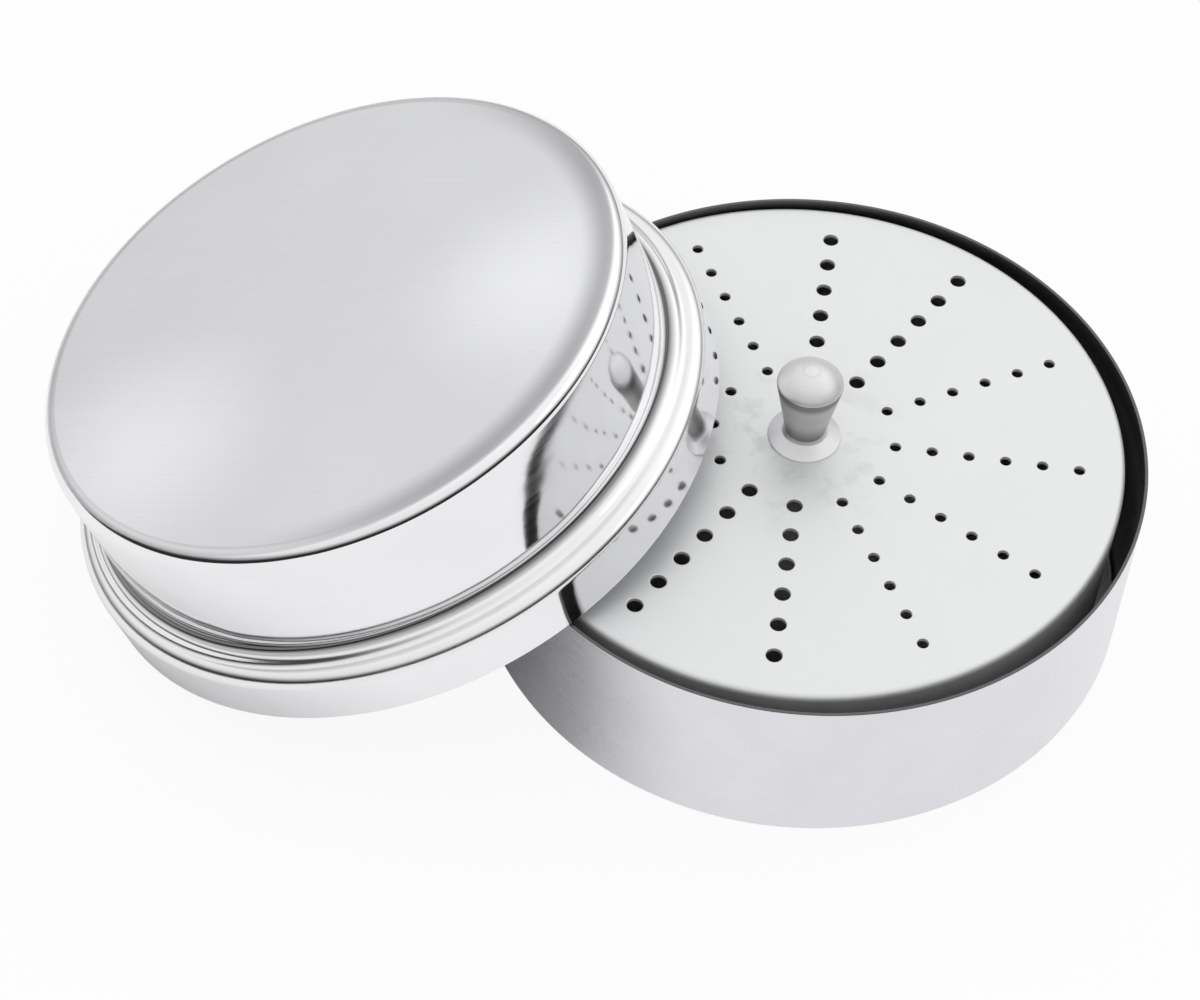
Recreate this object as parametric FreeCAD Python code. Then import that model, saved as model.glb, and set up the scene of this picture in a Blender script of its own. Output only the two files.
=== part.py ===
import FreeCAD
import Part
import math
import os

from FreeCAD import Vector

# Round endodontic file box of pressed stainless steel: a base pan, a perforated
# insert that stands in it, and a stepped lid that is off and leans on the pan's rim.
# All lengths are millimetres. +Z is up, and the origin is the centre of the pan's underside.

# Base pan
pan_rim_radius = 50.35
pan_height = 29.5
pan_sheet = 0.5
pan_corner = 1.0

# Perforated insert, an inverted pressed cup
insert_edge_gap = 1.7
insert_below_rim = 0.9
insert_sheet = 0.6
insert_edge_bend = 1.0
insert_draft = 0.45
insert_foot_land = 2.0
insert_side_clearance = 0.1
insert_shift_azimuth = 123.3

# File holes: rows run out from the knob like spokes
row_count = 12
holes_per_row = 6
hole_pitch = 5.5
hole_edge_margin = 6.9
first_row_azimuth = 113.2
small_hole_radius = 0.85
large_hole_radius = 1.2
large_rows = (2, 3, 8, 9)

# Knob that lifts the insert
knob_height = 14.7
knob_foot_radius = 5.5
knob_foot_edge = 0.3
knob_flare_height = 1.5
knob_neck_radius = 2.95
knob_head_radius = 5.0
knob_head_height = 12.0
knob_head_round = 1.1

# Screw under the insert, with its flat washer and its spring washer
screw_radius = 1.5
thread_clearance = 0.02
screw_reach = 5.0
knob_bore_spare = 1.5
screw_head_radius = 2.8
screw_head_height = 1.9
screw_head_round = 0.7
recess_length = 3.2
recess_width = 0.6
recess_depth = 1.1
screw_hole_clearance = 0.2
washer_radius = 3.5
washer_thickness = 0.5
spring_washer_radius = 3.05
spring_washer_thickness = 0.8
spring_washer_split = 0.5
washer_bore_clearance = 0.15

# Lid, a pressed cap with a stepped shoulder, measured down from its top face
lid_height = 30.4
lid_sheet = 0.5
lid_fit_clearance = 0.15
lid_top_bend = 2.3
lid_wall_draft = 0.2
lid_wall_height = 20.5
lid_step_width = 1.4
lid_step_bend = 0.8
lid_groove_width = 0.8
lid_groove_depth = 1.1
lid_groove_bend = 1.1
lid_shoulder_width = 2.6
lid_shoulder_rise = 0.15
lid_shoulder_bend = 2.0

# How the lid lies: its mouth's low side is on the bench, and the pan's rim crosses the
# mouth this far up the slope
lean_run = 83.1
lean_azimuth = 175.2
lean_gap = 0.2

# Sizes that follow from those above
pan_inside_radius = pan_rim_radius - pan_sheet
pan_floor_flat_radius = pan_rim_radius - pan_corner
insert_top = pan_height - insert_below_rim
insert_radius = pan_inside_radius - insert_edge_gap
insert_foot_radius = insert_radius - insert_draft
last_hole_radius = insert_radius - hole_edge_margin
insert_shift = pan_floor_flat_radius - insert_foot_radius - insert_side_clearance
skirt_radius = pan_rim_radius + lid_fit_clearance + lid_sheet
lean_angle = math.degrees(math.asin(pan_height / lean_run))
screw_hole_radius = screw_radius + screw_hole_clearance
washer_bore_radius = screw_radius + washer_bore_clearance

AXIS = Vector(0, 0, 1)


def bent_outline(corners):
    """Open line in the XZ plane from (radius, height, bend radius) corners, sharp at a zero bend."""
    points = [Vector(radius, 0, height) for radius, height, bend in corners]
    edges = []
    start = points[0]
    for index in range(1, len(corners) - 1):
        corner = points[index]
        back = (points[index - 1] - corner).normalize()
        ahead = (points[index + 1] - corner).normalize()
        inward = (back + ahead).normalize()
        bend = corners[index][2]
        half_angle = back.getAngle(ahead) / 2
        run = bend / math.tan(half_angle)
        reach = bend / math.sin(half_angle) - bend
        bend_start = corner + back * run
        bend_end = corner + ahead * run
        edges.append(Part.LineSegment(start, bend_start).toShape())
        if bend:
            edges.append(Part.Arc(bend_start, corner + inward * reach, bend_end).toShape())
        start = bend_end
    edges.append(Part.LineSegment(start, points[-1]).toShape())
    return Part.Wire(edges)


def pressed_sheet(corners, thickness_side):
    """Round sheet part: an outside line, thickened to one side and turned about the axis."""
    sharp_join = 2
    section = bent_outline(corners).makeOffset2D(thickness_side, sharp_join, True, True, False)
    return section.revolve(Vector(), AXIS, 360)


def turned(points):
    """Solid turned about the axis from (radius, height) points in order."""
    outline = [Vector(radius, 0, height) for radius, height in points]
    face = Part.Face(Part.makePolygon(outline + outline[:1]))
    return face.revolve(Vector(), AXIS, 360)


def rings_at(shape, radius, height):
    """Circular edges of a turned shape at one radius and height."""
    seam_point = Vector(radius, 0, height)
    closed = [edge for edge in shape.Edges if edge.isClosed()]
    return [edge for edge in closed if edge.Vertexes[0].Point.isEqual(seam_point, 1e-6)]


def insert_axis():
    """The insert has slid to one side of the pan, as far as the floor lets it."""
    azimuth = math.radians(insert_shift_azimuth)
    return Vector(math.cos(azimuth), math.sin(azimuth), 0) * insert_shift


def base_pan():
    corners = [
        (0, 0, 0),
        (pan_rim_radius, 0, pan_corner),
        (pan_rim_radius, pan_height, 0),
    ]
    return pressed_sheet(corners, pan_sheet)


def file_holes():
    """Six holes in each of twelve rows, with four rows of the larger size."""
    drills = []
    for row in range(row_count):
        azimuth = first_row_azimuth - row * 360 / row_count
        radius = large_hole_radius if row + 1 in large_rows else small_hole_radius
        for step in range(holes_per_row):
            distance = last_hole_radius - step * hole_pitch
            drill = Part.makeCylinder(radius, 2 * insert_sheet, Vector(distance, 0, 0))
            drill.rotate(Vector(), AXIS, azimuth)
            drills.append(drill)
    holes = Part.makeCompound(drills)
    holes.translate(Vector(0, 0, insert_top - 1.5 * insert_sheet))
    return holes


def insert_plate():
    foot = pan_sheet
    corners = [
        (0, insert_top, 0),
        (insert_radius, insert_top, insert_edge_bend),
        (insert_foot_radius, foot + insert_foot_land, 0),
        (insert_foot_radius, foot, 0),
    ]
    cup = pressed_sheet(corners, -insert_sheet)
    screw_hole = Part.makeCylinder(screw_hole_radius, pan_height)
    cup = cup.cut(Part.makeCompound([file_holes(), screw_hole]))
    cup.translate(insert_axis())
    return cup


def knob():
    """Turned knob: flared foot, tapered neck and domed head, with a blind bore below."""
    dome_rise = knob_height - knob_head_height
    dome_middle_radius = knob_head_radius * math.sqrt(0.5)
    dome_radius = (knob_head_radius ** 2 + dome_rise ** 2) / (2 * dome_rise)
    dome_drop = dome_radius - math.sqrt(dome_radius ** 2 - dome_middle_radius ** 2)
    side = [
        Vector(0, 0, 0),
        Vector(knob_foot_radius, 0, 0),
        Vector(knob_foot_radius, 0, knob_foot_edge),
        Vector(knob_neck_radius, 0, knob_flare_height),
        Vector(knob_head_radius, 0, knob_head_height),
    ]
    dome_middle = Vector(dome_middle_radius, 0, knob_height - dome_drop)
    top = Vector(0, 0, knob_height)
    edges = list(Part.makePolygon(side).Edges)
    edges.append(Part.Arc(side[-1], dome_middle, top).toShape())
    edges.append(Part.LineSegment(top, side[0]).toShape())
    shape = Part.Face(Part.Wire(edges)).revolve(Vector(), AXIS, 360)
    shape = shape.makeFillet(knob_head_round, rings_at(shape, knob_head_radius, knob_head_height))
    bore_depth = screw_reach + knob_bore_spare
    shape = shape.cut(Part.makeCylinder(screw_radius + thread_clearance, bore_depth))
    shape.translate(insert_axis() + Vector(0, 0, insert_top))
    return shape


def washer():
    ring = Part.makeCylinder(washer_radius, washer_thickness)
    ring = ring.cut(Part.makeCylinder(washer_bore_radius, washer_thickness))
    top = insert_top - insert_sheet
    ring.translate(insert_axis() + Vector(0, 0, top - washer_thickness))
    return ring


def spring_washer():
    """Spring ring with the split that lets it lock the screw."""
    ring = Part.makeCylinder(spring_washer_radius, spring_washer_thickness)
    ring = ring.cut(Part.makeCylinder(washer_bore_radius, spring_washer_thickness))
    split = Part.makeBox(spring_washer_radius, spring_washer_split, spring_washer_thickness)
    split.translate(Vector(0, -spring_washer_split / 2, 0))
    ring = ring.cut(split)
    top = insert_top - insert_sheet - washer_thickness
    ring.translate(insert_axis() + Vector(0, 0, top - spring_washer_thickness))
    return ring


def knob_screw():
    """Round-headed screw with a cross recess, pointing up into the knob."""
    stack = insert_sheet + washer_thickness + spring_washer_thickness
    shape = turned([
        (0, 0),
        (screw_head_radius, 0),
        (screw_head_radius, screw_head_height),
        (screw_radius, screw_head_height),
        (screw_radius, screw_head_height + stack + screw_reach),
        (0, screw_head_height + stack + screw_reach),
    ])
    shape = shape.makeFillet(screw_head_round, rings_at(shape, screw_head_radius, 0))
    half_length = recess_length / 2
    half_width = recess_width / 2
    corner = Vector(-half_length, -half_width, 0)
    slot = Part.makeBox(recess_length, recess_width, recess_depth, corner)
    cross_slot = slot.copy()
    cross_slot.rotate(Vector(), AXIS, 90)
    shape = shape.cut(slot.fuse(cross_slot))
    shape.translate(insert_axis() + Vector(0, 0, insert_top - stack - screw_head_height))
    return shape


def lid_corners():
    """Outside line of the lid with its mouth at height zero, worked inward from the skirt."""
    groove_radius = skirt_radius - lid_shoulder_width
    step_radius = groove_radius - lid_groove_width
    foot_radius = step_radius - lid_step_width
    top_radius = foot_radius - lid_wall_draft
    foot = lid_height - lid_wall_height
    groove = foot - lid_groove_depth
    return [
        (0, lid_height, 0),
        (top_radius, lid_height, lid_top_bend),
        (foot_radius, foot, 0),
        (step_radius, foot, lid_step_bend),
        (groove_radius, groove, lid_groove_bend),
        (skirt_radius, groove + lid_shoulder_rise, lid_shoulder_bend),
        (skirt_radius, 0, 0),
    ]


def lean_reach():
    """How far out from the pan's axis the centre of the leaning lid's mouth lies.

    The mouth's inner edge crosses the pan's rim at two points, a chord of both circles.
    """
    past_centre = lean_run - skirt_radius
    half_chord_squared = (skirt_radius - lid_sheet) ** 2 - past_centre ** 2
    chord_distance = math.sqrt(pan_rim_radius ** 2 - half_chord_squared)
    return chord_distance + past_centre * math.cos(math.radians(lean_angle))


def lid_shell():
    shape = pressed_sheet(lid_corners(), -lid_sheet)
    azimuth = math.radians(lean_azimuth)
    outward = Vector(math.cos(azimuth), math.sin(azimuth), 0)
    tilt_axis = AXIS.cross(outward)
    shape.rotate(Vector(), tilt_axis, lean_angle)
    mouth_height = skirt_radius * math.sin(math.radians(lean_angle)) + lean_gap
    shape.translate(outward * lean_reach() + Vector(0, 0, mouth_height))
    return shape


PIECES = {
    "base_pan": base_pan,
    "insert_plate": insert_plate,
    "knob": knob,
    "knob_washer": washer,
    "knob_spring_washer": spring_washer,
    "knob_screw": knob_screw,
    "lid_shell": lid_shell,
}

os.makedirs("parts", exist_ok=True)
for name, make in PIECES.items():
    piece = make()
    piece.exportStep("parts/" + name + ".step")
    print(name, piece.ShapeType, "valid", piece.isValid(), "volume", round(piece.Volume, 1))
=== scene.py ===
import math

import bmesh
import bpy
from mathutils import Matrix, Vector
from mathutils.geometry import delaunay_2d_cdt


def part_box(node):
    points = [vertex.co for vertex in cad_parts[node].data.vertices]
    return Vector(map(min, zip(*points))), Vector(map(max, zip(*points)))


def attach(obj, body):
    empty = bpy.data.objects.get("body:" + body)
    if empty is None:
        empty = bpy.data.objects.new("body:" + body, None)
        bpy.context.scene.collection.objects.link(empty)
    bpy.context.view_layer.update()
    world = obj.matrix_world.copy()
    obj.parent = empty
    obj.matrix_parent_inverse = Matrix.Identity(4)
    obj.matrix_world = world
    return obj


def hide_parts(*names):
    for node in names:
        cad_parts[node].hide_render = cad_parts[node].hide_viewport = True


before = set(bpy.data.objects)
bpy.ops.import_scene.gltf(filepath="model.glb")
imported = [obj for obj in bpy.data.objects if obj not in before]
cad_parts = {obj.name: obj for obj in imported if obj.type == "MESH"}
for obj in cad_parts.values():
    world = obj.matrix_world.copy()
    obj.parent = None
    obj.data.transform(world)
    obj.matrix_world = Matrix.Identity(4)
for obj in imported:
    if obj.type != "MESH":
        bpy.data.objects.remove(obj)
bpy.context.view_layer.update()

# Looks of the endodontic file box: pan, perforated insert, knob and leaning lid are turned
# or pressed forms built here from the solids' own sizes; the screw and its washers stay.
# Lengths are millimetres unless said otherwise, and metres once they are times MM.
MM = 0.001

# Base pan
PAN_RADIUS = 50.35
PAN_HEIGHT = 29.5
PAN_SHEET = 0.5
PAN_CORNER = 1.0

# Perforated insert
INSERT_RADIUS = 48.15
INSERT_TOP = 28.6
INSERT_SHEET = 0.6
INSERT_EDGE_BEND = 1.0
INSERT_DRAFT = 0.45
INSERT_FOOT_LAND = 2.0
INSERT_FOOT_BEND = 6.0
ROW_COUNT = 12
HOLES_PER_ROW = 6
HOLE_PITCH = 5.5
LAST_HOLE_RADIUS = 41.25
FIRST_ROW_AZIMUTH = 113.2
SMALL_HOLE = 0.85
LARGE_HOLE = 1.2
LARGE_ROWS = (2, 3, 8, 9)
SCREW_HOLE = 1.7
HOLE_ROUND = 0.09

# Knob
KNOB_HEIGHT = 14.7
KNOB_FOOT_RADIUS = 5.5
KNOB_FOOT_EDGE = 0.3
KNOB_FOOT_ROUND = 0.12
KNOB_FLARE_HEIGHT = 1.5
KNOB_FLARE_BEND = 0.9
KNOB_NECK_RADIUS = 2.95
KNOB_HEAD_RADIUS = 5.0
KNOB_HEAD_HEIGHT = 12.0
KNOB_HEAD_ROUND = 1.1
KNOB_BORE_RADIUS = 1.52
KNOB_BORE_DEPTH = 6.5

# Lid, with its mouth at height zero
LID_HEIGHT = 30.4
LID_SHEET = 0.5
SKIRT_RADIUS = 51.0
LID_TOP_BEND = 2.3
LID_WALL_DRAFT = 0.2
LID_WALL_HEIGHT = 20.5
LID_FOOT_BEND = 0.9
LID_STEP_WIDTH = 1.4
LID_STEP_BEND = 0.8
LID_GROOVE_WIDTH = 0.8
LID_GROOVE_DEPTH = 1.1
LID_GROOVE_BEND = 1.1
LID_SHOULDER_WIDTH = 2.6
LID_SHOULDER_RISE = 0.15
LID_SHOULDER_BEND = 2.0

# How the lid lies against the pan
LEAN_RUN = 83.1
LEAN_AZIMUTH = 175.2
LEAN_GAP = 0.2

# Camera, fitted to the photograph in the frame of the solids
CAMERA_PLACE = Vector((-31.09, -280.20, 358.16)) * MM
CAMERA_DOWN = 50.931
CAMERA_ROLL = 2.133
CAMERA_LENS = 86.67
CAMERA_SENSOR = 36.0

# Studio. The lamp and FLOOR_HALF_SIZE are in metres, the ranges in parts of a direction of length 1.
FLOOR_GLOW = 0.92
FLOOR_GLOW_IN_METAL = 0.80
SHADED_FLOOR = Vector((-62, -8, 0))
SHADE_RADII = (36, 64)
BRIGHT_SIDE = Vector((0.40, 0.60, 0.69))
HORIZON_TURN = (-0.3, 0.5)
HORIZON_HEIGHTS = (0.24, 0.10)
HORIZON_SOFTNESS = 0.32
DARKEST_TURN = (0.0, 0.8)
DARKEST_LEVELS = (0.03, 0.40)
SIDE_TURN = (-0.2, 0.6)
SIDE_LEVELS = (0.86, 1.02)
BRIGHT_BOX_EDGE = (0.80, 0.98)
BRIGHT_BOX_LEVEL = 0.20
PAPER_COLOUR = (0.92, 0.92, 0.92, 1)
FLOOR_DROP = 0.05
FLOOR_HALF_SIZE = 2.0
SOFTBOX_PLACE = (0.85, 0.0, 0.6)
SOFTBOX_AIM = (0, 0, 0.03)
SOFTBOX_SIZE = 0.9
SOFTBOX_POWER = 0.5

# Mesh fineness
SEGMENTS = 256
HOLE_SEGMENTS = 32
KNOB_SEGMENTS = 96
DOME_STEPS = 16
ARC_STEP = math.radians(7.5)
SUPPORT = 0.2
RUN_STEP = 4.0
CUT_EDGE_ROUND = 0.1
SHARP_ANGLE = math.radians(32)

# Tones drawn into the metal after the photograph, as (from, to) distances and depths of tone.
# Most are painted light and shade: painted highlights and a painted ring and line of reflected shade on the
# lid's top, and painted shade in the corner at the foot of the lid's wall, on the knob's neck and inside the
# pan's rim. The lid's places are those of the upright lid. FOOT_SHADE_REACH runs outwards from the wall's
# foot, NECK_SHADE_BAND down from the knob head's edge and RIM_SHADE_BAND down from the pan's rim.
BRUSH_ANGLE = math.radians(-16)
# Painted light on the lid's top: two painted highlights, a painted ring of reflected shade and a painted
# dark line.
TOP_TONE_AWAY_FROM_HIGHLIGHTS = 0.82
TOP_PAINTED_HIGHLIGHTS = ((Vector((33, -3, LID_HEIGHT)), 24), (Vector((-27, -20, LID_HEIGHT)), 26))
SHADE_RING_SIDE = Vector((0.95, -0.30, 0.0))
SHADE_RING = (39.5, 44.0)
SHADE_RING_END = (44.4, 44.9)
SHADE_RING_LEFT = 0.2
SHADE_RING_DEPTH = 0.42
SHADE_RING_SPREAD = 36.0
SHADE_LINE_START = (43.4, 43.6)
SHADE_LINE_END = (43.8, 44.1)
SHADE_LINE_DEPTH = 0.14
SHADE_LINE_SPREAD = 30.0
# Painted shade in the corner at the foot of the lid's wall.
FOOT_SHADE_REACH = (0.1, 1.2)
FOOT_SHADE_TONE = 0.20
# Faint grey noise patches on the plate round the knob.
GREY_PATCH_CENTRE = Vector((-2, -1, INSERT_TOP))
GREY_PATCH_REACH = 24
GREY_PATCH_FREQUENCY = 0.22
GREY_PATCH_CONTRAST = (0.50, 0.68)
GREY_PATCH_TONE = 0.84
# Painted shade on the knob's neck, near its foot and in a band under the head.
NECK_FOOT_SHADE_TOP = 6
NECK_FOOT_SHADE_TONE = 0.62
NECK_SHADE_BAND = (2.4, 0.9)
NECK_SHADE_BAND_TONE = 0.5
DOME_RING_INNER = (0.9, 1.2)
DOME_RING_OUTER = (1.3, 1.6)
DOME_RING_TONE = 0.92
# Painted shade inside the pan, at the rim and on the wall just under it.
RIM_SHADE_BAND = (6, 2)
RIM_SHADE_BAND_TONE = 0.32
SPECK_FREQUENCY = 0.45
SPECK_SIZE = (0.02, 0.06)


def rounded(corners):
    """(radius, height) points along an outline of (radius, height, bend radius) corners."""
    line = [Vector(corners[0][:2])]
    for index in range(1, len(corners) - 1):
        corner = Vector(corners[index][:2])
        bend = corners[index][2]
        if not bend:
            line.append(corner)
            continue
        back = (Vector(corners[index - 1][:2]) - corner).normalized()
        ahead = (Vector(corners[index + 1][:2]) - corner).normalized()
        half_angle = back.angle(ahead) / 2
        centre = corner + (back + ahead).normalized() * bend / math.sin(half_angle)
        arm = corner + back * bend / math.tan(half_angle) - centre
        side = back.x * ahead.y - back.y * ahead.x
        turn = math.copysign(math.pi - 2 * half_angle, -side)
        count = max(2, math.ceil(abs(turn) / ARC_STEP))
        for step in range(count + 1):
            line.append(centre + Matrix.Rotation(turn * step / count, 2) @ arm)
    line.append(Vector(corners[-1][:2]))
    return line


def supported(line):
    """Long straight runs get points near their ends, so that their shading stays flat."""
    fine = [line[0]]
    for start, end in zip(line, line[1:]):
        length = (end - start).length
        if length > 4 * SUPPORT:
            along = (end - start) / length
            inner = length - 2 * SUPPORT
            count = max(1, math.ceil(inner / RUN_STEP))
            for step in range(count + 1):
                fine.append(start + along * (SUPPORT + inner * step / count))
        fine.append(end)
    return fine


def beside(line, distance):
    """The line moved sideways, to its right for a positive distance."""
    moved = []
    for index, point in enumerate(line):
        before = line[max(index - 1, 0)]
        after = line[min(index + 1, len(line) - 1)]
        first = (point - before) if index else (after - point)
        second = (after - point) if index < len(line) - 1 else first
        first.normalize()
        second.normalize()
        right = Vector((first.y + second.y, -first.x - second.x)).normalized()
        stretch = right.dot(Vector((first.y, -first.x)))
        moved.append(point + right * distance / stretch)
    return moved


def sheet_section(outside, distance):
    """Closed section of a pressed sheet, with its cut edge slightly rounded."""
    inside = beside(outside, distance)
    along = (outside[-1] - outside[-2]).normalized()
    edge = [
        (outside[-1] - along, 0),
        (outside[-1], CUT_EDGE_ROUND),
        (inside[-1], CUT_EDGE_ROUND),
        (inside[-1] - along, 0),
    ]
    cap = rounded([(point.x, point.y, bend) for point, bend in edge])[1:-1]
    return outside[:-1] + cap + inside[-2::-1]


def add_lathe(bm, section, segments=SEGMENTS):
    """Surface of revolution of a (radius, height) line in millimetres."""
    rings = []
    for point in section:
        if point.x < 1e-6:
            rings.append([bm.verts.new((0, 0, point.y * MM))])
            continue
        ring = []
        for step in range(segments):
            angle = 2 * math.pi * step / segments
            place = Vector((point.x * math.cos(angle), point.x * math.sin(angle), point.y))
            ring.append(bm.verts.new(place * MM))
        rings.append(ring)
    for ring, after in zip(rings, rings[1:]):
        for step in range(segments):
            turn = (step + 1) % segments
            corners = [
                ring[step % len(ring)],
                after[step % len(after)],
                after[turn % len(after)],
                ring[turn % len(ring)],
            ]
            bm.faces.new(list(dict.fromkeys(corners)))


def finish_mesh(bm, name, zones, zone_of=None):
    """Object from a closed mesh: outward faces, smooth with sharp cut edges, one material a zone."""
    bmesh.ops.remove_doubles(bm, verts=bm.verts, dist=1e-7)
    bmesh.ops.recalc_face_normals(bm, faces=bm.faces)
    for face in bm.faces:
        face.smooth = True
        if zone_of:
            face.material_index = zone_of(face.calc_center_median() / MM, face.normal)
    mesh = bpy.data.meshes.new(name)
    bm.to_mesh(mesh)
    bm.free()
    mesh.set_sharp_from_angle(angle=SHARP_ANGLE)
    for material in zones:
        mesh.materials.append(material)
    piece = bpy.data.objects.new(name, mesh)
    bpy.context.scene.collection.objects.link(piece)
    return piece


def add_node(tree, kind, inputs=None, **settings):
    """A shader node with its settings and its inputs, which are values or other nodes' outputs."""
    node = tree.nodes.new(kind)
    for key, value in settings.items():
        setattr(node, key, value)
    for key, value in (inputs or {}).items():
        if isinstance(value, bpy.types.NodeSocket):
            tree.links.new(value, node.inputs[key])
        else:
            node.inputs[key].default_value = value
    return node


def ramp(tree, value, low, high, low_to, high_to):
    """Maps a value from one range to another, held at the ends."""
    inputs = {"Value": value, "From Min": low, "From Max": high, "To Min": low_to, "To Max": high_to}
    return add_node(tree, "ShaderNodeMapRange", inputs).outputs["Result"]


def math_node(tree, operation, first, second):
    return add_node(tree, "ShaderNodeMath", {0: first, 1: second}, operation=operation).outputs[0]


def noise(tree, vector, scale, detail=3.0, roughness=0.5):
    inputs = {"Vector": vector, "Scale": scale, "Detail": detail, "Roughness": roughness}
    return add_node(tree, "ShaderNodeTexNoise", inputs).outputs["Fac"]


def stretched(tree, vector, scale):
    """Texture space in millimetres, scaled by axis."""
    size = [factor / MM for factor in scale]
    return add_node(tree, "ShaderNodeMapping", {"Vector": vector, "Scale": size}).outputs["Vector"]


def radial(tree, vector, around, across):
    """Texture space whose third axis is the distance from the turning axis."""
    flat = add_node(tree, "ShaderNodeVectorMath", {0: vector, 1: (1, 1, 0)}, operation="MULTIPLY").outputs[0]
    radius = add_node(tree, "ShaderNodeVectorMath", {0: flat}, operation="LENGTH").outputs["Value"]
    parts = add_node(tree, "ShaderNodeSeparateXYZ", {0: vector}).outputs
    scaled = {
        0: math_node(tree, "MULTIPLY", parts[0], around / MM),
        1: math_node(tree, "MULTIPLY", parts[1], around / MM),
        2: math_node(tree, "MULTIPLY", radius, across / MM),
    }
    return add_node(tree, "ShaderNodeCombineXYZ", scaled).outputs[0]


def metal(name, colour, rough, clouds, grain, dents, specks=0.0, shading=None, metallic=1.0, at=None):
    """Metal with soft clouds of tone, a fine grain, shallow dents and sparse specks.

    clouds: (millimetre scale, tone depth, roughness depth). grain: (function that makes its
    texture space, tone depth, roughness depth, bump height). dents: (millimetre scale, bump height).
    shading: function that gives one more tone from the place on the piece. metallic: less than
    one for a blasted face, which scatters more light than it mirrors. at: the placement of a
    piece that is drawn upright and then put in its place, so that the texture stays on it.
    """
    material = bpy.data.materials.new(name)
    material.use_nodes = True
    tree = material.node_tree
    shader = tree.nodes["Principled BSDF"]
    shader.inputs["Metallic"].default_value = metallic
    place = add_node(tree, "ShaderNodeTexCoord").outputs["Object"]
    if at:
        back = at.inverted()
        upright = {"Vector": place, "Location": back.to_translation(), "Rotation": back.to_euler()}
        place = add_node(tree, "ShaderNodeMapping", upright).outputs["Vector"]

    cloud_size, cloud_tone, cloud_rough = clouds
    cloud = noise(tree, stretched(tree, place, (1, 1, 1)), 1 / cloud_size, detail=4.0, roughness=0.55)
    grain_space, grain_tone, grain_rough, grain_bump = grain
    fine = noise(tree, grain_space(tree, place), 1.0, detail=5.0, roughness=0.6)

    tone = ramp(tree, cloud, 0.3, 0.7, 1 - cloud_tone, 1.0)
    tone = math_node(tree, "MULTIPLY", tone, ramp(tree, fine, 0.3, 0.7, 1 - grain_tone, 1.0))
    if specks:
        cells = {"Vector": stretched(tree, place, (1, 1, 1)), "Scale": SPECK_FREQUENCY}
        dots = add_node(tree, "ShaderNodeTexVoronoi", cells).outputs["Distance"]
        tone = math_node(tree, "MULTIPLY", tone, ramp(tree, dots, *SPECK_SIZE, 1 - specks, 1.0))
    if shading:
        tone = math_node(tree, "MULTIPLY", tone, shading(tree, place))
    tint = {"Factor": 1.0, 6: (*colour, 1)}
    shade = add_node(tree, "ShaderNodeMix", tint, data_type="RGBA", blend_type="MULTIPLY")
    tree.links.new(tone, shade.inputs[7])
    tree.links.new(shade.outputs[2], shader.inputs["Base Color"])

    roughness = ramp(tree, cloud, 0.3, 0.7, rough - cloud_rough, rough + cloud_rough)
    roughness = math_node(tree, "ADD", roughness, ramp(tree, fine, 0.3, 0.7, -grain_rough, grain_rough))
    tree.links.new(roughness, shader.inputs["Roughness"])

    dent_size, dent_height = dents
    dent = noise(tree, stretched(tree, place, (1, 1, 1)), 1 / dent_size, detail=1.5, roughness=0.4)
    wide = add_node(tree, "ShaderNodeBump", {"Height": dent, "Strength": 1.0, "Distance": dent_height * MM})
    bump = {"Height": fine, "Strength": 1.0, "Distance": grain_bump * MM, "Normal": wide.outputs[0]}
    tree.links.new(add_node(tree, "ShaderNodeBump", bump).outputs[0], shader.inputs["Normal"])
    return material


def brushed_across(tree, place):
    turned = {"Vector": place, "Angle": -BRUSH_ANGLE}
    turned = add_node(tree, "ShaderNodeVectorRotate", turned, rotation_type="Z_AXIS").outputs["Vector"]
    return stretched(tree, turned, (0.04, 4.5, 4.5))


def brushed_around(tree, place):
    return stretched(tree, place, (0.04, 0.04, 2.5))


def turned_rings(tree, place):
    return radial(tree, place, 0.05, 6.0)


def even_grain(tree, place):
    return stretched(tree, place, (3.0, 3.0, 3.0))


def axis_distance(tree, place):
    """Distance from the turning axis, in millimetres."""
    flat = add_node(tree, "ShaderNodeVectorMath", {0: place, 1: (1, 1, 0)}, operation="MULTIPLY").outputs[0]
    length = add_node(tree, "ShaderNodeVectorMath", {0: flat}, operation="LENGTH").outputs["Value"]
    return math_node(tree, "DIVIDE", length, MM)


def smooth(tree, value, low, high, low_to, high_to):
    """Maps a value from one range to another with soft ends."""
    inputs = {"Value": value, "From Min": low, "From Max": high, "To Min": low_to, "To Max": high_to}
    return add_node(tree, "ShaderNodeMapRange", inputs, interpolation_type="SMOOTHSTEP").outputs["Result"]


def lid_outline():
    groove_radius = SKIRT_RADIUS - LID_SHOULDER_WIDTH
    step_radius = groove_radius - LID_GROOVE_WIDTH
    foot_radius = step_radius - LID_STEP_WIDTH
    foot = LID_HEIGHT - LID_WALL_HEIGHT
    groove = foot - LID_GROOVE_DEPTH
    return [
        (0, LID_HEIGHT, 0),
        (foot_radius - LID_WALL_DRAFT, LID_HEIGHT, LID_TOP_BEND),
        (foot_radius, foot, LID_FOOT_BEND),
        (step_radius, foot, LID_STEP_BEND),
        (groove_radius, groove, LID_GROOVE_BEND),
        (SKIRT_RADIUS, groove + LID_SHOULDER_RISE, LID_SHOULDER_BEND),
        (SKIRT_RADIUS, 0, 0),
    ]


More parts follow.
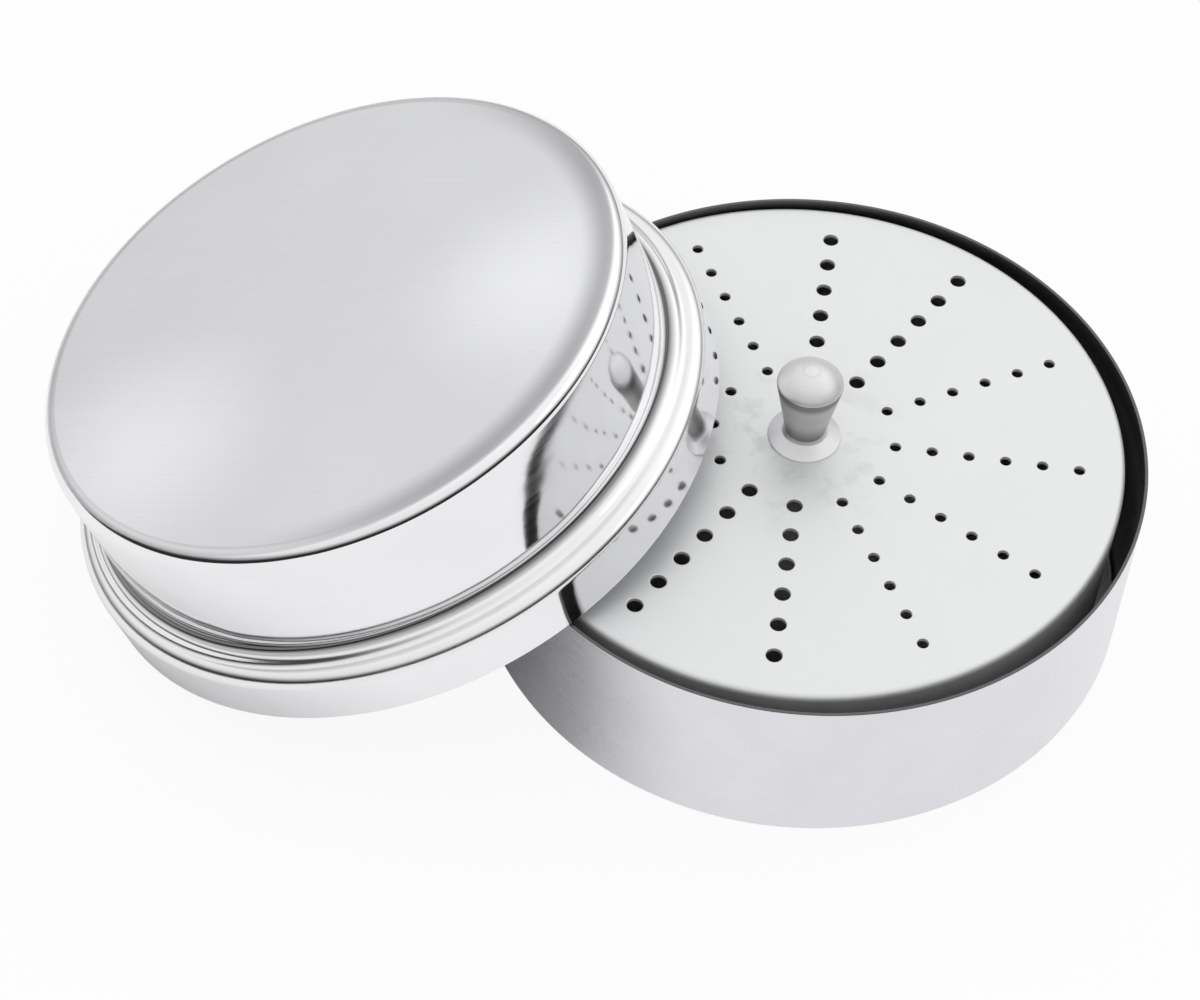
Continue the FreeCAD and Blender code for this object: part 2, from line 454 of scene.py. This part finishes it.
def lid_place():
    """Where the leaning lid's mouth centre is, and how it is turned."""
    angle = math.asin(PAN_HEIGHT / LEAN_RUN)
    past_centre = LEAN_RUN - SKIRT_RADIUS
    half_chord_squared = (SKIRT_RADIUS - LID_SHEET) ** 2 - past_centre ** 2
    reach = math.sqrt(PAN_RADIUS ** 2 - half_chord_squared) + past_centre * math.cos(angle)
    azimuth = math.radians(LEAN_AZIMUTH)
    outward = Vector((math.cos(azimuth), math.sin(azimuth), 0))
    lift = Vector((0, 0, SKIRT_RADIUS * math.sin(angle) + LEAN_GAP))
    tilt_axis = Vector((0, 0, 1)).cross(outward)
    return Matrix.Translation((outward * reach + lift) * MM) @ Matrix.Rotation(angle, 4, tilt_axis)


def near(tree, place, spot, reach):
    """One at a spot on the piece, falling softly to zero at its reach."""
    points = {0: place, 1: spot * MM}
    apart = add_node(tree, "ShaderNodeVectorMath", points, operation="DISTANCE").outputs["Value"]
    return smooth(tree, apart, 0.0, reach * MM, 1.0, 0.0)


def top_painted_light(tree, place):
    """Painted light on the lid's top: two painted highlights, a painted ring of reflected shade on one side,
    a painted dark line on the other.
    """
    (first, first_reach), (second, second_reach) = TOP_PAINTED_HIGHLIGHTS
    bright = math_node(
        tree, "ADD", near(tree, place, first, first_reach), near(tree, place, second, second_reach)
    )
    tone = ramp(tree, bright, 0.0, 1.0, TOP_TONE_AWAY_FROM_HIGHLIGHTS, 1.0)
    distance = axis_distance(tree, place)
    toward = {0: place, 1: SHADE_RING_SIDE.normalized() / MM}
    side = add_node(tree, "ShaderNodeVectorMath", toward, operation="DOT_PRODUCT").outputs["Value"]
    # Painted ring of reflected shade near the edge of the top, on one side.
    ring = smooth(tree, distance, *SHADE_RING, 0.0, 1.0)
    ring = math_node(tree, "MULTIPLY", ring, smooth(tree, distance, *SHADE_RING_END, 1.0, SHADE_RING_LEFT))
    shade_ring_side = smooth(tree, side, 0.0, SHADE_RING_SPREAD, 0.0, SHADE_RING_DEPTH)
    ring = math_node(tree, "MULTIPLY", ring, shade_ring_side)
    # Painted dark line where the flat top ends, on the other side.
    shade_line_start = smooth(tree, distance, *SHADE_LINE_START, 0.0, SHADE_LINE_DEPTH)
    shade_line_end = smooth(tree, distance, *SHADE_LINE_END, 1.0, 0.0)
    line = math_node(tree, "MULTIPLY", shade_line_start, shade_line_end)
    line = math_node(tree, "MULTIPLY", line, smooth(tree, side, 0.0, SHADE_LINE_SPREAD, 1.0, 0.0))
    left = math_node(tree, "SUBTRACT", math_node(tree, "SUBTRACT", 1.0, ring), line)
    return math_node(tree, "MULTIPLY", tone, left)


def foot_painted_shade(tree, place):
    """Painted shade in the corner at the foot of the lid's wall."""
    foot_radius = lid_outline()[2][0]
    low, high = (foot_radius + reach for reach in FOOT_SHADE_REACH)
    return smooth(tree, axis_distance(tree, place), low, high, FOOT_SHADE_TONE, 1.0)


def plate_tone(tree, place):
    """Tone of the plate, with faint grey noise patches round the knob."""
    round_knob = near(tree, place, GREY_PATCH_CENTRE, GREY_PATCH_REACH)
    grey_patches = noise(tree, stretched(tree, place, (1, 1, 1)), GREY_PATCH_FREQUENCY, detail=3.0, roughness=0.6)
    grey_patches = math_node(tree, "MULTIPLY", smooth(tree, grey_patches, *GREY_PATCH_CONTRAST, 0.0, 1.0), round_knob)
    return ramp(tree, grey_patches, 0.0, 1.0, 1.0, GREY_PATCH_TONE)


def neck_painted_shade(tree, place):
    """Painted shade on the knob's neck: darker towards its foot and in a band under the head."""
    height = add_node(tree, "ShaderNodeSeparateXYZ", {0: place}).outputs["Z"]
    foot = smooth(tree, height, KNOB_FLARE_HEIGHT * MM, NECK_FOOT_SHADE_TOP * MM, NECK_FOOT_SHADE_TONE, 1.0)
    low, high = ((KNOB_HEAD_HEIGHT - below) * MM for below in NECK_SHADE_BAND)
    band = smooth(tree, height, low, high, 1.0, NECK_SHADE_BAND_TONE)
    return math_node(tree, "MULTIPLY", foot, band)


def dome_tone(tree, place):
    """Tone of the knob's dome, with a ring round its middle."""
    distance = axis_distance(tree, place)
    outer = smooth(tree, distance, *DOME_RING_OUTER, 0.0, 1.0)
    inner = smooth(tree, distance, *DOME_RING_INNER, 1.0, 0.0)
    return ramp(tree, math_node(tree, "ADD", outer, inner), 0.0, 1.0, DOME_RING_TONE, 1.0)


def pan_rim_painted_shade(tree, place):
    """Painted shade on the pan's inside: grey at the rim and on the wall just under it."""
    height = add_node(tree, "ShaderNodeSeparateXYZ", {0: place}).outputs["Z"]
    low, high = ((PAN_HEIGHT - below) * MM for below in RIM_SHADE_BAND)
    return smooth(tree, height, low, high, 1.0, RIM_SHADE_BAND_TONE)


lid_top_steel = metal(
    "lid_top_brushed", (0.955, 0.96, 0.98), 0.34, clouds=(20, 0.06, 0.03),
    grain=(brushed_across, 0.06, 0.05, 0.002), dents=(34, 0.06),
    specks=0.25, shading=top_painted_light, at=lid_place(),
)
lid_shoulder = metal(
    "lid_shoulder_buffed", (0.88, 0.88, 0.89), 0.18, clouds=(18, 0.05, 0.03),
    grain=(brushed_around, 0.03, 0.03, 0.001), dents=(8, 0.04),
    shading=foot_painted_shade, at=lid_place(),
)
lid_polished = metal(
    "lid_polished", (0.89, 0.885, 0.905), 0.07, clouds=(18, 0.05, 0.02),
    grain=(brushed_around, 0.02, 0.02, 0.0004), dents=(8, 0.06), at=lid_place(),
)
lid_inside = metal(
    "lid_inside_satin", (0.80, 0.805, 0.835), 0.30, clouds=(20, 0.08, 0.05),
    grain=(brushed_around, 0.04, 0.04, 0.003), dents=(16, 0.03), at=lid_place(),
)
# The pan's inside is far darker than its outside: painted shade in the closed box.
pan_inside_shaded = metal(
    "pan_inside_satin", (0.45, 0.44, 0.45), 0.38, clouds=(14, 0.08, 0.04),
    grain=(brushed_around, 0.04, 0.03, 0.001), dents=(14, 0.03), shading=pan_rim_painted_shade,
)
pan_outside = metal(
    "pan_satin", (0.815, 0.805, 0.84), 0.26, clouds=(12, 0.07, 0.05),
    grain=(brushed_around, 0.03, 0.03, 0.0007), dents=(14, 0.05),
)
insert_satin = metal(
    "insert_matt", (0.835, 0.845, 0.85), 0.52, clouds=(12, 0.05, 0.05),
    grain=(even_grain, 0.02, 0.03, 0.002), dents=(12, 0.02),
    specks=0.1, shading=plate_tone, metallic=0.6,
)
# The neck is the dome's aluminium in a darker colour: painted shade.
knob_neck_shaded = metal(
    "knob_neck_turned", (0.62, 0.62, 0.61), 0.45, clouds=(3, 0.10, 0.05),
    grain=(turned_rings, 0.12, 0.08, 0.006), dents=(4, 0.01), shading=neck_painted_shade,
)
knob_aluminium = metal(
    "knob_turned_aluminium", (0.80, 0.80, 0.81), 0.46, clouds=(3, 0.06, 0.05),
    grain=(turned_rings, 0.06, 0.06, 0.004), dents=(4, 0.01), shading=dome_tone,
)
fastener_steel = metal(
    "fastener_steel", (0.62, 0.62, 0.64), 0.32, clouds=(2, 0.10, 0.08),
    grain=(even_grain, 0.05, 0.05, 0.004), dents=(2, 0.01),
)


def lid():
    bm = bmesh.new()
    outline = lid_outline()
    add_lathe(bm, sheet_section(supported(rounded(outline)), LID_SHEET))
    top_brushed = outline[1][0] - LID_TOP_BEND / 2
    foot_high = outline[2][1] + LID_FOOT_BEND
    shoulder_low = outline[5][1] - LID_SHOULDER_BEND

    def zone_of(place, normal):
        if place.z > LID_HEIGHT - LID_SHEET and place.xy.length < top_brushed and normal.z > 0.5:
            return 0
        inward = place.x * normal.x + place.y * normal.y < 0
        under = normal.z < -0.5 and place.z > LID_HEIGHT - 2 * LID_SHEET
        if inward or under:
            return 2
        return 3 if shoulder_low < place.z < foot_high else 1

    piece = finish_mesh(bm, "lid_body", [lid_top_steel, lid_polished, lid_inside, lid_shoulder], zone_of)
    piece.data.transform(lid_place())
    return piece


def pan():
    bm = bmesh.new()
    outline = [(0, 0, 0), (PAN_RADIUS, 0, PAN_CORNER), (PAN_RADIUS, PAN_HEIGHT, 0)]
    add_lathe(bm, sheet_section(supported(rounded(outline)), -PAN_SHEET))
    inner_radius = PAN_RADIUS - PAN_SHEET

    def zone_of(place, normal):
        inside = place.z > PAN_SHEET / 2 and place.xy.length < inner_radius + CUT_EDGE_ROUND / 2
        return 1 if inside or place.z > PAN_HEIGHT - CUT_EDGE_ROUND else 0

    return finish_mesh(bm, "pan_body", [pan_outside, pan_inside_shaded], zone_of)


def hole_list():
    """(centre, radius) of every file hole and of the screw's hole."""
    holes = [(Vector((0, 0)), SCREW_HOLE)]
    for row in range(ROW_COUNT):
        azimuth = math.radians(FIRST_ROW_AZIMUTH - row * 360 / ROW_COUNT)
        radius = LARGE_HOLE if row + 1 in LARGE_ROWS else SMALL_HOLE
        for step in range(HOLES_PER_ROW):
            distance = LAST_HOLE_RADIUS - step * HOLE_PITCH
            holes.append((Vector((math.cos(azimuth), math.sin(azimuth))) * distance, radius))
    return holes


def circle(centre, radius, count):
    angles = [2 * math.pi * step / count for step in range(count)]
    return [centre + Vector((math.cos(angle), math.sin(angle))) * radius for angle in angles]


def add_perforated_face(bm, outer_radius, holes, height):
    """Flat disc with holes, at one height."""
    rings = [circle(Vector((0, 0)), outer_radius, SEGMENTS)]
    for centre, radius in holes:
        rings.append(circle(centre, radius, HOLE_SEGMENTS))
        rings.append(circle(centre, radius + SUPPORT, HOLE_SEGMENTS))
    points = [point for ring in rings for point in ring]
    edges = []
    for ring in rings:
        start = len(edges)
        edges += [(start + step, start + (step + 1) % len(ring)) for step in range(len(ring))]
    flat_points, _, triangles, *_ = delaunay_2d_cdt(points, edges, [], 0, 1e-6)
    verts = [bm.verts.new(Vector((point.x, point.y, height)) * MM) for point in flat_points]
    for triangle in triangles:
        middle = sum((flat_points[index] for index in triangle), Vector((0, 0))) / 3
        if all((middle - centre).length > radius for centre, radius in holes):
            bm.faces.new([verts[index] for index in triangle])


def add_hole_wall(bm, centre, rings):
    """Wall of a hole down its (radius, height) rings."""
    loops = []
    for radius, height in rings:
        points = circle(centre, radius, HOLE_SEGMENTS)
        loops.append([bm.verts.new(Vector((point.x, point.y, height)) * MM) for point in points])
    for loop, below in zip(loops, loops[1:]):
        for step in range(HOLE_SEGMENTS):
            turn = (step + 1) % HOLE_SEGMENTS
            bm.faces.new((loop[step], loop[turn], below[turn], below[step]))


def insert(centre):
    bm = bmesh.new()
    foot_radius = INSERT_RADIUS - INSERT_DRAFT
    outline = [
        (0, INSERT_TOP, 0),
        (INSERT_RADIUS, INSERT_TOP, INSERT_EDGE_BEND),
        (foot_radius, PAN_SHEET + INSERT_FOOT_LAND, INSERT_FOOT_BEND),
        (foot_radius, PAN_SHEET, 0),
    ]
    line = rounded(outline)
    disc_radius = line[1].x - SUPPORT
    section = sheet_section(supported(line), INSERT_SHEET)
    add_lathe(bm, [point for point in section if point.x > disc_radius - SUPPORT / 2])
    below = INSERT_TOP - INSERT_SHEET
    holes = hole_list()
    rounded_holes = [(place, radius + HOLE_ROUND) for place, radius in holes]
    add_perforated_face(bm, disc_radius, rounded_holes, INSERT_TOP)
    add_perforated_face(bm, disc_radius, holes, below)
    for place, radius in holes:
        slope = HOLE_ROUND * (1 - math.sqrt(0.5))
        add_hole_wall(bm, place, [
            (radius + HOLE_ROUND, INSERT_TOP),
            (radius + slope, INSERT_TOP - slope),
            (radius, INSERT_TOP - HOLE_ROUND),
            (radius, below),
        ])
    piece = finish_mesh(bm, "insert_body", [insert_satin])
    piece.location = centre
    return piece


def knob(centre):
    bm = bmesh.new()
    outline = [
        (0, KNOB_BORE_DEPTH, 0),
        (KNOB_BORE_RADIUS, KNOB_BORE_DEPTH, 0),
        (KNOB_BORE_RADIUS, 0, 0),
        (KNOB_FOOT_RADIUS, 0, 0),
        (KNOB_FOOT_RADIUS, KNOB_FOOT_EDGE, KNOB_FOOT_ROUND),
        (KNOB_NECK_RADIUS, KNOB_FLARE_HEIGHT, KNOB_FLARE_BEND),
        (KNOB_HEAD_RADIUS, KNOB_HEAD_HEIGHT, KNOB_HEAD_ROUND),
    ]
    rise = KNOB_HEIGHT - KNOB_HEAD_HEIGHT
    dome_radius = (KNOB_HEAD_RADIUS ** 2 + rise ** 2) / (2 * rise)
    dome_angle = math.asin(KNOB_HEAD_RADIUS / dome_radius)
    dome = []
    for step in range(DOME_STEPS + 1):
        angle = dome_angle * (1 - step / DOME_STEPS)
        drop = dome_radius * (1 - math.cos(angle))
        dome.append(Vector((dome_radius * math.sin(angle), KNOB_HEIGHT - drop)))
    line = rounded(outline + [(dome[1].x, dome[1].y, 0)])
    last = line[-2]
    dome = [point for point in dome[1:] if point.x < last.x and point.y > last.y]
    add_lathe(bm, line[:-1] + dome, KNOB_SEGMENTS)

    def zone_of(place, normal):
        return 1 if KNOB_FLARE_HEIGHT < place.z < KNOB_HEAD_HEIGHT and normal.z < 0.1 else 0

    piece = finish_mesh(bm, "knob_body", [knob_aluminium, knob_neck_shaded], zone_of)
    piece.location = centre + Vector((0, 0, INSERT_TOP * MM))
    return piece


def dress(piece, body, slot, *nodes):
    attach(piece, body)
    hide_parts(*nodes)


def set_material(node, material):
    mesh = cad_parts[node].data
    if not mesh.materials:
        mesh.materials.append(material)
    for index in range(len(mesh.materials)):
        mesh.materials[index] = material


def floor():
    bm = bmesh.new()
    bmesh.ops.create_grid(bm, x_segments=1, y_segments=1, size=FLOOR_HALF_SIZE)
    mesh = bpy.data.meshes.new("floor")
    bm.to_mesh(mesh)
    bm.free()
    piece = bpy.data.objects.new("floor", mesh)
    piece.location.z = -FLOOR_DROP * MM
    bpy.context.scene.collection.objects.link(piece)
    material = bpy.data.materials.new("floor_white")
    material.use_nodes = True
    tree = material.node_tree
    tree.nodes.remove(tree.nodes["Principled BSDF"])
    path = add_node(tree, "ShaderNodeLightPath").outputs
    mirrored = math_node(tree, "ADD", path["Is Glossy Ray"], path["Is Transmission Ray"])
    place = add_node(tree, "ShaderNodeTexCoord").outputs["Object"]
    # Round SHADED_FLOOR, under the leaning lid, the glow that metal sees is taken away: a painted patch of
    # shade, in which the paper's own shade shows.
    apart = {0: place, 1: SHADED_FLOOR * MM}
    apart = add_node(tree, "ShaderNodeVectorMath", apart, operation="DISTANCE").outputs["Value"]
    lit = smooth(tree, apart, SHADE_RADII[0] * MM, SHADE_RADII[1] * MM, 0.0, FLOOR_GLOW_IN_METAL)
    share = math_node(tree, "MULTIPLY", mirrored, lit)
    share = math_node(tree, "ADD", share, math_node(tree, "MULTIPLY", path["Is Camera Ray"], FLOOR_GLOW))
    paper = add_node(tree, "ShaderNodeBsdfDiffuse", {"Color": PAPER_COLOUR}).outputs[0]
    glow = add_node(tree, "ShaderNodeEmission", {"Color": (1, 1, 1, 1), "Strength": 1.0}).outputs[0]
    mix = add_node(tree, "ShaderNodeMixShader", {0: share, 1: paper, 2: glow}).outputs[0]
    tree.links.new(mix, tree.nodes["Material Output"].inputs["Surface"])
    mesh.materials.append(material)


def studio():
    """White studio, brightest behind on the right, that is dark near the horizon.

    The dark wall draws the lines in polished edges. The camera itself sees plain white.
    """
    world = bpy.data.worlds.new("studio")
    bpy.context.scene.world = world
    world.use_nodes = True
    tree = world.node_tree
    direction = add_node(tree, "ShaderNodeTexCoord").outputs["Generated"]
    up = add_node(tree, "ShaderNodeSeparateXYZ", {0: direction}).outputs["Z"]
    behind = add_node(tree, "ShaderNodeSeparateXYZ", {0: direction}).outputs["Y"]
    low = ramp(tree, behind, *HORIZON_TURN, *HORIZON_HEIGHTS)
    high = math_node(tree, "ADD", low, HORIZON_SOFTNESS)
    darkest = ramp(tree, behind, *DARKEST_TURN, *DARKEST_LEVELS)
    band = ramp(tree, up, low, high, darkest, 1.0)
    towards = {0: direction, 1: BRIGHT_SIDE.normalized()}
    side = add_node(tree, "ShaderNodeVectorMath", towards, operation="DOT_PRODUCT").outputs["Value"]
    level = ramp(tree, side, *SIDE_TURN, *SIDE_LEVELS)
    box = smooth(tree, side, *BRIGHT_BOX_EDGE, 0.0, BRIGHT_BOX_LEVEL)
    band = math_node(tree, "MULTIPLY", band, math_node(tree, "ADD", level, box))
    path = add_node(tree, "ShaderNodeLightPath").outputs
    shown = {"Factor": path["Is Camera Ray"], "A": band, "B": 1.0}
    level = add_node(tree, "ShaderNodeMix", shown, data_type="FLOAT")
    background = tree.nodes["Background"]
    background.inputs["Color"].default_value = (1, 1, 1, 1)
    tree.links.new(level.outputs["Result"], background.inputs["Strength"])


def lamp(name, place, aim, size, power):
    light = bpy.data.lights.new(name, "AREA")
    light.shape = "DISK"
    light.size = size
    light.energy = power
    piece = bpy.data.objects.new(name, light)
    piece.location = place
    piece.rotation_euler = (Vector(aim) - Vector(place)).to_track_quat("-Z", "Y").to_euler()
    bpy.context.scene.collection.objects.link(piece)


def camera():
    data = bpy.data.cameras.new("camera")
    data.lens = CAMERA_LENS
    data.sensor_width = CAMERA_SENSOR
    data.sensor_fit = "HORIZONTAL"
    piece = bpy.data.objects.new("camera", data)
    tilt = Matrix.Rotation(math.radians(90 - CAMERA_DOWN), 4, "X")
    roll = Matrix.Rotation(math.radians(CAMERA_ROLL), 4, "Z")
    piece.matrix_world = Matrix.Translation(CAMERA_PLACE) @ tilt @ roll
    bpy.context.scene.collection.objects.link(piece)
    bpy.context.scene.camera = piece


knob_low, knob_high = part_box("knob")
insert_centre = ((knob_low + knob_high) / 2) * Vector((1, 1, 0))

dress(pan(), "base", "pan_steel", "base_pan")
dress(insert(insert_centre), "insert", "insert_steel", "insert_plate")
dress(knob(insert_centre), "insert", "knob_aluminium", "knob")
dress(lid(), "lid", "lid_steel", "lid_shell")
for fastener in ("knob_screw", "knob_washer", "knob_spring_washer"):
    set_material(fastener, fastener_steel)

floor()
studio()
lamp("softbox", SOFTBOX_PLACE, SOFTBOX_AIM, SOFTBOX_SIZE, SOFTBOX_POWER)
camera()
bpy.context.scene.view_settings.view_transform = "Standard"
